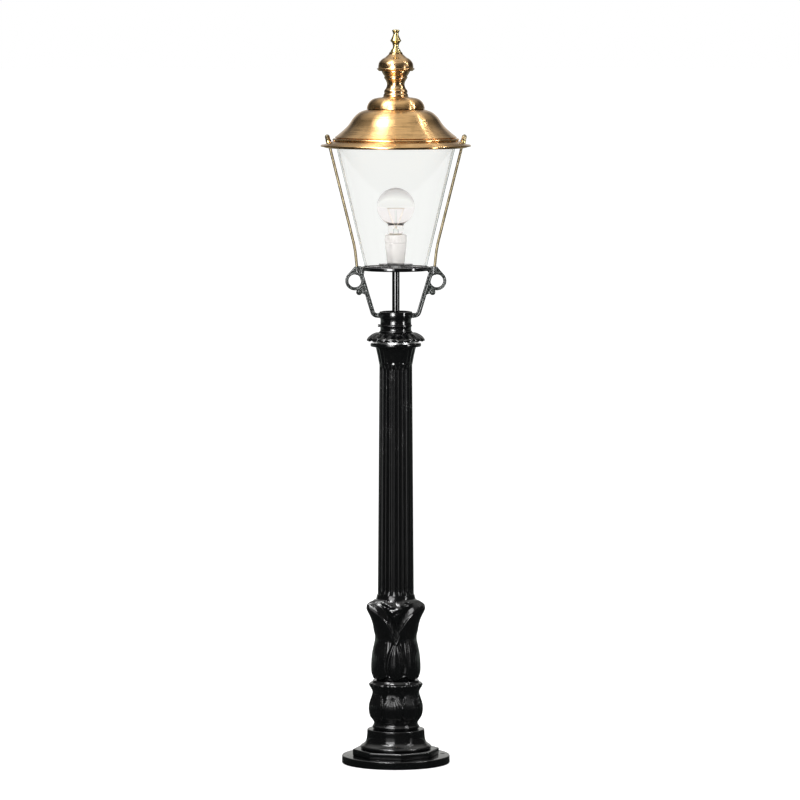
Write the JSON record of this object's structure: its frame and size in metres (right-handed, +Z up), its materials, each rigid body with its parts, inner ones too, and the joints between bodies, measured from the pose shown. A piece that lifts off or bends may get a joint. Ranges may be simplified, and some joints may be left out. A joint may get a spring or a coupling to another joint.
{
  "type": "garden post light",
  "caption": "Free-standing garden post light: cast, fluted post with leaf ornament, conical glass lantern on cast brackets and a spun copper roof with a turned finial.",
  "frame": {"origin": "centre of the underside of the foot plate", "axes": "+Z up along the post, +X towards the right-hand bracket seen from the front, +Y away from the viewer"},
  "size_m": [0.3159, 0.316, 1.5484],
  "materials": {
    "cast_black": "gloss black paint on a cast surface",
    "black_steel": "gloss black paint on steel",
    "zinc_steel": "zinc plated",
    "black_rubber": "moulded",
    "grey_rubber": "cut sheet",
    "lantern_glass": "clear, faintly green at its edges",
    "lamp_glass": "clear, faintly milky",
    "stem_glass": "clear",
    "porcelain": "glazed white",
    "yellow_brass": "polished, lightly aged",
    "brushed_copper": "spun and brushed round the axis, lacquered",
    "nickel": "nickel plated",
    "filament_wire": "drawn wire"
  },
  "bodies": {
    "post": {"foot_plate": "cast_black", "foot_casting": "cast_black", "bulb_casting": "cast_black", "vase_casting": "cast_black", "column": "cast_black", "capital": "cast_black", "leaf_skirt": "cast_black", "spigot": "zinc_steel", "tie_tube": "zinc_steel", "tie_nut_lower": "zinc_steel", "tie_nut_upper": "zinc_steel", "cable_bush": "black_rubber"},
    "head": {"lantern_socket": "cast_black", "set_screws": "zinc_steel", "bracket_left": "cast_black", "bracket_right": "cast_black", "bracket_screws": "zinc_steel", "centre_tube": "black_steel", "tube_nuts": "zinc_steel", "seat_plate": "black_steel", "seat_screws": "zinc_steel", "nipple": "zinc_steel", "disc_nut": "zinc_steel", "holder_disc": "black_steel", "lower_gasket": "grey_rubber", "glass_cone": "lantern_glass", "lamp_holder": "porcelain", "holder_ring": "porcelain", "holder_sleeve": "yellow_brass", "holder_contact": "yellow_brass", "holder_terminals": "yellow_brass", "stay_left": "yellow_brass", "stay_right": "yellow_brass"},
    "roof": {"upper_gasket": "grey_rubber", "roof_brim": "brushed_copper", "brim_ring": "brushed_copper", "roof_bell": "brushed_copper", "crown_dome": "brushed_copper", "crown_spacer": "yellow_brass", "finial_neck": "brushed_copper", "finial_cap": "brushed_copper", "finial_spire": "yellow_brass", "finial_rod": "zinc_steel", "finial_nut": "zinc_steel", "washer_left": "yellow_brass", "washer_right": "yellow_brass"},
    "nut_left": {"dome_nut_left": "yellow_brass"},
    "nut_right": {"dome_nut_right": "yellow_brass"},
    "lamp": {"globe": "lamp_glass", "lamp_cap": "nickel", "lamp_contact": "nickel", "lamp_stem": "stem_glass", "lamp_filament": "filament_wire"}
  },
  "joints": [
    {"name": "head_swivel", "type": "hinge", "parent": "post", "child": "head", "pos_m": [0, 0, 0.9362], "axis": [0, 0, 1], "continuous": true},
    {"name": "roof_lift", "type": "slide", "parent": "head", "child": "roof", "axis": [0, 0, 1], "range_m": [0, 0.12]},
    {"name": "nut_left_turn", "type": "hinge", "parent": "roof", "child": "nut_left", "pos_m": [-0.1418, 0, 1.3156], "axis": [-0.2413, 0, 0.9704], "continuous": true},
    {"name": "nut_right_turn", "type": "hinge", "parent": "roof", "child": "nut_right", "pos_m": [0.1418, 0, 1.3156], "axis": [0.2413, 0, 0.9704], "continuous": true},
    {"name": "lamp_out", "type": "slide", "parent": "head", "child": "lamp", "axis": [0, 0, 1], "range_m": [0, 0.025]}
  ]
}
